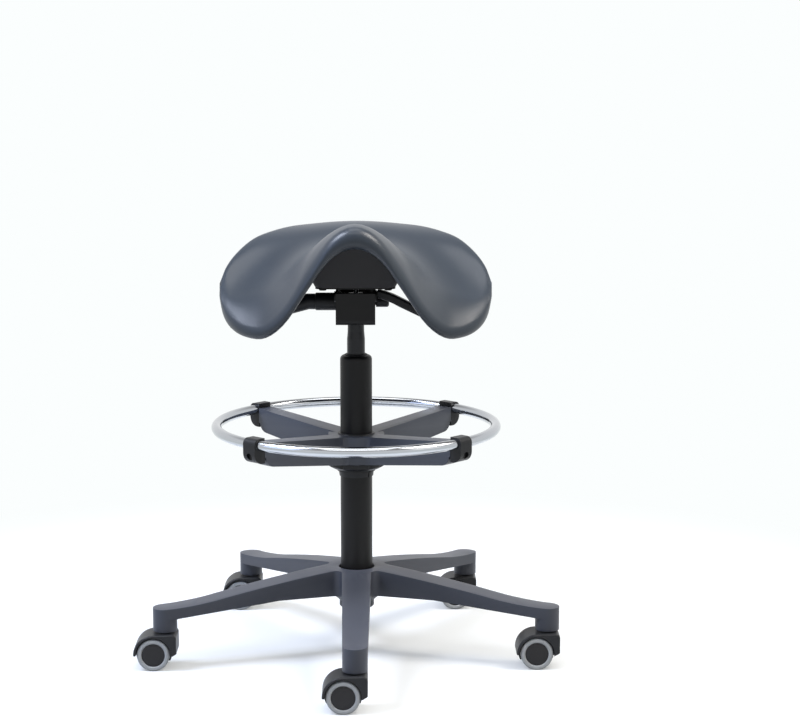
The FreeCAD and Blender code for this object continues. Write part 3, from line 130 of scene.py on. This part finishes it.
floor_mesh = bpy.data.meshes.new("floor")
half = FLOOR_SIZE / 2
corners = [(-half, -half, 0), (half, -half, 0), (half, half, 0), (-half, half, 0)]
floor_mesh.from_pydata(corners, [], [(0, 1, 2, 3)])
floor_mesh.materials.append(paper)
floor = bpy.data.objects.new("floor", floor_mesh)
bpy.context.collection.objects.link(floor)

world = bpy.data.worlds.new("studio")
bpy.context.scene.world = world
world.use_nodes = True
tree = world.node_tree
tree.nodes.clear()
rays = add(tree, "ShaderNodeLightPath")
white = add(tree, "ShaderNodeBackground", {"Color": linear(STUDIO_COLOUR), "Strength": 1.0})
room = add(tree, "ShaderNodeBackground", {"Color": linear(ROOM_COLOUR), "Strength": ROOM_STRENGTH})
place = add(tree, "ShaderNodeTexCoord")
height = add(tree, "ShaderNodeSeparateXYZ", {0: place.outputs["Generated"]})
ceiling = add(tree, "ShaderNodeValToRGB", {0: height.outputs["Z"]})
for stop, (position, colour) in zip(ceiling.color_ramp.elements, (MIRRORED_WALLS, MIRRORED_CEILING)):
    stop.position = position
    stop.color = linear(colour)
walls = add(tree, "ShaderNodeBackground", {"Color": ceiling.outputs[0], "Strength": 1.0})
seen = either(tree, rays.outputs["Is Camera Ray"], rays.outputs["Is Transmission Ray"])
mirrored = add(tree, "ShaderNodeMixShader", {
    0: rays.outputs["Is Glossy Ray"], 1: room.outputs[0], 2: walls.outputs[0],
})
choice = add(tree, "ShaderNodeMixShader", {0: seen, 1: mirrored.outputs[0], 2: white.outputs[0]})
add(tree, "ShaderNodeOutputWorld", {"Surface": choice.outputs[0]})

bpy.context.scene.view_settings.view_transform = "Standard"


def area_light(name, place, target, size, power, colour):
    """A soft box that faces a point."""
    data = bpy.data.lights.new(name, "AREA")
    data.shape = "RECTANGLE"
    data.size, data.size_y = size
    data.energy = power
    data.color = linear(colour)[:3]
    lamp = bpy.data.objects.new(name, data)
    lamp.location = place
    lamp.rotation_euler = (Vector(target) - Vector(place)).to_track_quat("-Z", "Y").to_euler()
    bpy.context.collection.objects.link(lamp)


area_light("left_box", (-2.4, -1.3, 1.7), (0, 0, 0.5), (1.4, 1.8), 12, "#a8c4ff")
area_light("right_box", (2.4, -1.6, 1.5), (0, 0, 0.5), (1.2, 1.6), 3, "#fff6ec")
area_light("high_left_box", (-2.1, -0.4, 3.0), (0, 0, 0.2), (1.4, 1.4), 124, "#e4ecff")
area_light("high_right_box", (2.1, -0.4, 3.0), (0, 0, 0.2), (1.4, 1.4), 92, "#fffaf4")
area_light("top_box", (0, 0.4, 3.2), (0, 0, 0.4), (1.8, 1.8), 30, "#ffffff")
area_light("front_box", (0, -1.6, 3.2), (0, 0, 0.1), (2.2, 0.8), 20, "#ffffff")

# Base star
# One moulding in dark grey glass-filled nylon: five legs on a hub, hollow and ribbed below.
# Its corners are rounded as the mould leaves them.
BASE_ROUNDING = 0.002
ROUNDING_SEGMENTS = 3
SAME_PLACE = 1e-6
# Faces that meet at less than the first of these angles become one face. Edges over the
# second are rounded, and edges over the third are shaded as sharp ones.
FLAT_TURN = math.radians(0.5)
ROUNDED_TURN = math.radians(35)
SHARP_TURN = math.radians(30)


def cloudy(tree, place, scale):
    """Soft noise that makes the gloss and the colour a little uneven."""
    inputs = {"Vector": place.outputs["Object"], "Scale": scale, "Detail": 3.0}
    return add(tree, "ShaderNodeTexNoise", inputs).outputs["Fac"]


def grained(tree, place, grain, depth, roughness, strength):
    """A fine grain, its size and depth in millimetres."""
    texture = add(tree, "ShaderNodeTexNoise", {
        "Vector": place.outputs["Object"], "Scale": 1000 / grain, "Detail": 2.0, "Roughness": roughness,
    })
    return add(tree, "ShaderNodeBump", {
        "Height": texture.outputs["Fac"], "Distance": depth / 1000, "Strength": strength,
    }).outputs[0]


def moulded(name, colour, roughness, grain=0.5, depth=0.05, mottle=0.08, gloss=0.25):
    """Injection-moulded plastic with a spark-eroded grain, its size and depth in millimetres."""
    material, tree = new_material(name)
    place = add(tree, "ShaderNodeTexCoord")
    cloud = cloudy(tree, place, 9.0)
    bump = grained(tree, place, grain, depth, 0.6, 0.6)
    spread = add(tree, "ShaderNodeMapRange", {
        "Value": cloud, "To Min": roughness - mottle, "To Max": roughness + mottle,
    })
    base = linear(colour)
    pale = tuple(min(1, c * 1.25 + 0.002) for c in base[:3]) + (1,)
    tint = add(tree, "ShaderNodeMix", {"Factor": cloud}, data_type="RGBA")
    tint.inputs[6].default_value = base
    tint.inputs[7].default_value = pale
    skin = add(tree, "ShaderNodeBsdfPrincipled", {
        "Base Color": tint.outputs[2], "Roughness": spread.outputs[0], "Normal": bump,
        "Specular IOR Level": gloss,
    })
    add(tree, "ShaderNodeOutputMaterial", {"Surface": skin.outputs[0]})
    return material


def smooth(data):
    """Shade all faces of a mesh smoothly."""
    for polygon in data.polygons:
        polygon.use_smooth = True


def rounded_copy(name, width, body, material):
    """A copy of a CAD node with its sharp corners rounded, to stand for the node."""
    mesh = bmesh.new()
    mesh.from_mesh(nodes[name].data)
    bmesh.ops.remove_doubles(mesh, verts=mesh.verts, dist=SAME_PLACE)
    bmesh.ops.dissolve_limit(mesh, angle_limit=FLAT_TURN, verts=mesh.verts, edges=mesh.edges)
    data = bpy.data.meshes.new(f"{name}_rounded")
    mesh.to_mesh(data)
    mesh.free()
    piece = bpy.data.objects.new(f"{name}_rounded", data)
    bpy.context.collection.objects.link(piece)
    bevel = piece.modifiers.new("corners", "BEVEL")
    bevel.width = width
    bevel.segments = ROUNDING_SEGMENTS
    bevel.limit_method = "ANGLE"
    bevel.angle_limit = ROUNDED_TURN
    graph = bpy.context.evaluated_depsgraph_get()
    shown = bpy.data.meshes.new_from_object(piece.evaluated_get(graph))
    piece.modifiers.clear()
    piece.data = shown
    shown.materials.clear()
    shown.materials.append(material)
    shown.set_sharp_from_angle(angle=SHARP_TURN)
    smooth(shown)
    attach(piece, body)
    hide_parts(name)


base_nylon = moulded("glass_filled_nylon_spark_grain", "#474a52", 0.42, grain=0.8, depth=0.06, gloss=0.3)
rounded_copy("base_star", BASE_ROUNDING, "base", base_nylon)

# Casters
# Twin-wheel casters for hard floors: a nylon hood and wheel centres, and light grey
# soft treads moulded round them. The stems are zinc-plated steel, pressed into the legs.
CASTERS = range(1, 6)


def metal(name, colour, roughness, metallic=1.0, grain=0.4, depth=0.01, gloss=0.5):
    """Plated or painted steel, with a faint unevenness in its gloss."""
    material, tree = new_material(name)
    place = add(tree, "ShaderNodeTexCoord")
    cloud = cloudy(tree, place, 25.0)
    bump = grained(tree, place, grain, depth, 0.5, 0.5)
    spread = add(tree, "ShaderNodeMapRange", {
        "Value": cloud, "To Min": roughness * 0.8, "To Max": roughness * 1.2,
    })
    skin = add(tree, "ShaderNodeBsdfPrincipled", {
        "Base Color": linear(colour), "Roughness": spread.outputs[0], "Normal": bump,
        "Metallic": metallic, "Specular IOR Level": gloss,
    })
    add(tree, "ShaderNodeOutputMaterial", {"Surface": skin.outputs[0]})
    return material


def dress(material, *names):
    """Give CAD nodes their finish."""
    for name in names:
        mesh = nodes[name].data
        mesh.materials.clear()
        mesh.materials.append(material)


hood_nylon = moulded("moulded_nylon_hood", "#242527", 0.42)
wheel_nylon = moulded("moulded_nylon_wheel", "#2b2a2b", 0.45)
tread = moulded("soft_polyurethane_tread", "#c6c8c7", 0.5, grain=0.6, depth=0.03)
zinc = metal("zinc_plated_steel", "#a5a8ab", 0.32)
for number in CASTERS:
    dress(hood_nylon, f"caster_hood_{number}")
    dress(wheel_nylon, f"wheel_{number}a", f"wheel_{number}b")
    dress(tread, f"tyre_{number}a", f"tyre_{number}b")
    dress(zinc, f"caster_axle_{number}")
dress(zinc, "caster_stems")

# Column
# A steel stand tube and gas cylinder in black powder coat and satin paint.
powder = metal("black_powder_coat", "#131314", 0.42, metallic=0.0, grain=0.9, depth=0.05, gloss=0.22)
satin = metal("satin_black_paint", "#24262a", 0.36, metallic=0.0, gloss=0.3)
dress(powder, "stand_tube")
dress(satin, "gas_cylinder")
dress(zinc, "piston_rod", "valve_button", "thrust_bearing", "thrust_washer", "rod_clip")
bush_nylon = moulded("moulded_nylon_bush", "#202123", 0.5)
rubber = moulded("soft_black_rubber", "#18181a", 0.7)
dress(bush_nylon, "guide_bush")
dress(rubber, "rubber_buffer")

# Foot ring
# A chromed steel tube bent to a ring and butt-welded, clipped to a nylon spider that a
# twist ring clamps to the column.
SPIDER_ROUNDING = 0.0025
chrome = metal("bright_chrome_plate", "#b8bcc1", 0.12)
spider_nylon = moulded("moulded_nylon_spider", "#464a53", 0.4, gloss=0.4)
clip_nylon = moulded("moulded_nylon_clip", "#1d1e20", 0.4)
dress(chrome, "foot_ring")
rounded_copy("ring_spider", SPIDER_ROUNDING, "ring_frame", spider_nylon)
dress(clip_nylon, "ring_clips", "ring_collet", "ring_lock")
dress(powder, "clip_screws")

# Mechanism
# Folded and welded steel in black powder coat, with moulded grips on its two levers.
grip = moulded("moulded_grip_plastic", "#1f2023", 0.42)
dress(powder, "mechanism_housing", "taper_socket", "seat_plate", "height_lever", "tilt_lever")
dress(grip, "height_grip", "tilt_sleeve", "clamp_knob")
dress(powder, "tilt_pin", "seat_bolts")
dress(zinc, "seat_inserts")
carrier = moulded("moulded_carrier", "#373637", 0.55, grain=0.8)
dress(carrier, "seat_shell")

# Saddle seat
# One moulding of polyurethane foam with its own closed skin, which is smooth and a
# little glossy. It is made from upright slices, front to back, like the real mould's
# sections: a nose that rolls over, a dip, and a rise to the back edge.
SEAT_HALF = 0.212
SEAT_FRONT = 0.171
SEAT_BACK = 0.186
SEAT_LEVEL = 0.591
# Distance from the centre plane, the nose's height, how far behind it the crest lies, the
# heights of the crest, the middle, the rise and the back edge, and the depth of the padding
# in front and behind, all in millimetres over the seat plate.
SEAT_SLICES = [
    (0, 81, 46, 100, 59, 80, 65, 36, 30),
    (35, 65, 45, 86, 57, 79, 63, 36, 30),
    (70, 13, 38, 49, 48, 76, 60, 36, 30),
    (105, -38, 24, -10, 33, 72, 58, 34, 30),
    (135, -63, 15, -42, 20, 65, 54, 30, 28),
    (163, -66, 12, -48, 9, 55, 46, 27, 27),
    (187, -58, 10, -41, 1, 37, 30, 27, 26),
    (203, -41, 7, -29, -4, 17, 13, 24, 22),
    (211, -20, 3, -16, -10, -4, -6, 7, 7),
]
# The front and back edges of the plan, as powers of the distance from the centre plane.
FRONT_POWER = 1.5
BACK_POWERS = (2.4, 1 / 1.7)
# Where the middle and the rise lie on a slice, and how the crest and the rise lean.
MIDDLE_SHARE = 0.52
RISE_SHARE = 0.10
CREST_LEAN = math.radians(14)
RISE_LEAN = math.radians(12)
CREST_MARGIN = math.radians(1)
# The leans fade away over this last share of the half width.
TIP_FADE = 0.06
# The outermost slice lies at this share of the half width, and the tip closes over it.
SEAT_EDGE = math.sin(math.radians(88))
SEAT_STATIONS = 64
ARC_STEPS = 7
# An arc that turns by less than the first is drawn straight, and two headings that differ
# by less than the second count as the same.
STRAIGHT = 1e-4
PARALLEL = 1e-9


def slice_values(place):
    """A slice's heights and depths at any distance, on a smooth curve through the given ones."""
    last = len(SEAT_SLICES) - 1
    index = max(i for i, row in enumerate(SEAT_SLICES[:-1]) if row[0] <= place)
    below, above = SEAT_SLICES[index], SEAT_SLICES[index + 1]
    step = above[0] - below[0]
    share = (place - below[0]) / step

    def slope(i, column):
        """The slope of one column at a given slice."""
        if i == 0:
            return 0
        after = SEAT_SLICES[min(i + 1, last)]
        before = SEAT_SLICES[i - 1]
        return (after[column] - before[column]) / (after[0] - before[0])

    early = 2 * share**3 - 3 * share**2 + 1
    late = 3 * share**2 - 2 * share**3
    leaving = share**3 - 2 * share**2 + share
    arriving = share**3 - share**2
    values = []
    for column in range(1, len(below)):
        level = below[column] * early + above[column] * late
        lean = slope(index, column) * leaving + slope(index + 1, column) * arriving
        values.append((level + step * lean) / 1000)
    return values


def slice_points(share):
    """Places and headings round one slice: nose, top, back and underside."""
    stored = min(share * SEAT_SLICES[-1][0] / SEAT_EDGE, SEAT_SLICES[-1][0])
    nose, setback, crest, middle, rise, back, front_depth, back_depth = slice_values(stored)
    front_y = -SEAT_FRONT * math.sqrt(1 - share**FRONT_POWER)
    back_y = SEAT_BACK * (1 - share ** BACK_POWERS[0]) ** BACK_POWERS[1]
    length = back_y - front_y
    crest_y = front_y + setback
    middle_y = front_y + MIDDLE_SHARE * length
    rise_y = back_y - RISE_SHARE * length
    fall = math.atan2(middle - crest, middle_y - crest_y)
    climb = math.atan2(rise - middle, rise_y - middle_y)
    fade = min(1, max(0, (1 - share) / TIP_FADE))
    roll = min(fall + CREST_LEAN * fade, math.atan2(crest - nose, setback) - CREST_MARGIN)
    top = [
        (crest_y, crest, roll, front_depth),
        (middle_y, middle, (fall + climb) / 2, (front_depth + back_depth) / 2),
        (rise_y, rise, climb - RISE_LEAN * fade, back_depth),
    ]
    points = [(front_y, nose, math.pi / 2)]
    points += [(y, z, turn) for y, z, turn, depth in top]
    points.append((back_y, back, -math.pi / 2))
    for y, z, turn, depth in reversed(top):
        points.append((y + depth * math.sin(turn), z - depth * math.cos(turn), turn + math.pi))
    return [(y, z + SEAT_LEVEL, turn) for y, z, turn in points]


def meeting_point(start, end):
    """Where two arcs meet that leave one point and reach the next with the given headings."""
    a = Vector((math.cos(start[2]), math.sin(start[2])))
    b = Vector((math.cos(end[2]), math.sin(end[2])))
    gap = Vector((end[0] - start[0], end[1] - start[1]))
    along = gap.dot(a + b)
    bend = 1 - a.dot(b)
    if bend < PARALLEL:
        reach = gap.dot(gap) / (2 * along)
    else:
        reach = (math.sqrt(along**2 + 2 * bend * gap.dot(gap)) - along) / (2 * bend)
    return Vector(((start[0] + end[0]) / 2, (start[1] + end[1]) / 2)) + (a - b) * reach / 2


def arc_points(start, end, heading, steps):
    """Points of the arc that leaves the start with the heading and ends before the end."""
    start = Vector(start)
    chord = Vector(end) - start
    chord_heading = math.atan2(chord.y, chord.x)
    turn = heading - chord_heading
    turn = (turn + math.pi) % (2 * math.pi) - math.pi
    points = []
    for step in range(steps):
        share = step / steps
        if abs(turn) < STRAIGHT:
            points.append(start + chord * share)
            continue
        reach = chord.length * math.sin(turn * share) / math.sin(turn)
        angle = chord_heading + turn * (1 - share)
        points.append(start + Vector((math.cos(angle), math.sin(angle))) * reach)
    return points


def slice_ring(share):
    """One slice as a closed ring of points in the frame."""
    points = slice_points(abs(share))
    ring = []
    for index, start in enumerate(points):
        end = points[(index + 1) % len(points)]
        joint = meeting_point(start, end)
        ring += arc_points(start[:2], joint, start[2], ARC_STEPS)
        backwards = arc_points(end[:2], joint, end[2] + math.pi, ARC_STEPS)
        ring += [joint] + list(reversed(backwards[1:]))
    return [Vector((share * SEAT_HALF, p.x, p.y)) for p in ring]


def seat_mesh():
    """The whole skin, ring by ring, with its two outer tips drawn together."""
    turns = [math.pi / 2 * (2 * i / SEAT_STATIONS - 1) for i in range(SEAT_STATIONS + 1)]
    shares = [math.sin(turn) * SEAT_EDGE for turn in turns]
    mesh = bmesh.new()
    rings = [[mesh.verts.new(p) for p in slice_ring(share)] for share in shares]
    for ring, after in zip(rings, rings[1:]):
        for index in range(len(ring)):
            following = (index + 1) % len(ring)
            mesh.faces.new((ring[index], ring[following], after[following], after[index]))
    for ring in (rings[0], rings[-1]):
        centre = sum((v.co for v in ring), Vector()) / len(ring)
        tip = mesh.verts.new(centre)
        for index in range(len(ring)):
            mesh.faces.new((ring[index], ring[(index + 1) % len(ring)], tip))
    bmesh.ops.recalc_face_normals(mesh, faces=mesh.faces)
    return mesh


def new_piece(name, mesh, material, body):
    """A shown object from mesh code, riding on a body."""
    data = bpy.data.meshes.new(name)
    mesh.to_mesh(data)
    mesh.free()
    data.materials.append(material)
    smooth(data)
    piece = bpy.data.objects.new(name, data)
    bpy.context.collection.objects.link(piece)
    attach(piece, body)
    return piece


skin = moulded("integral_skin_polyurethane", "#252e38", 0.35, grain=1.6, mottle=0.05, gloss=0.45)
seat = new_piece("saddle_seat", seat_mesh(), skin, "seat")
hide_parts("seat_cushion")
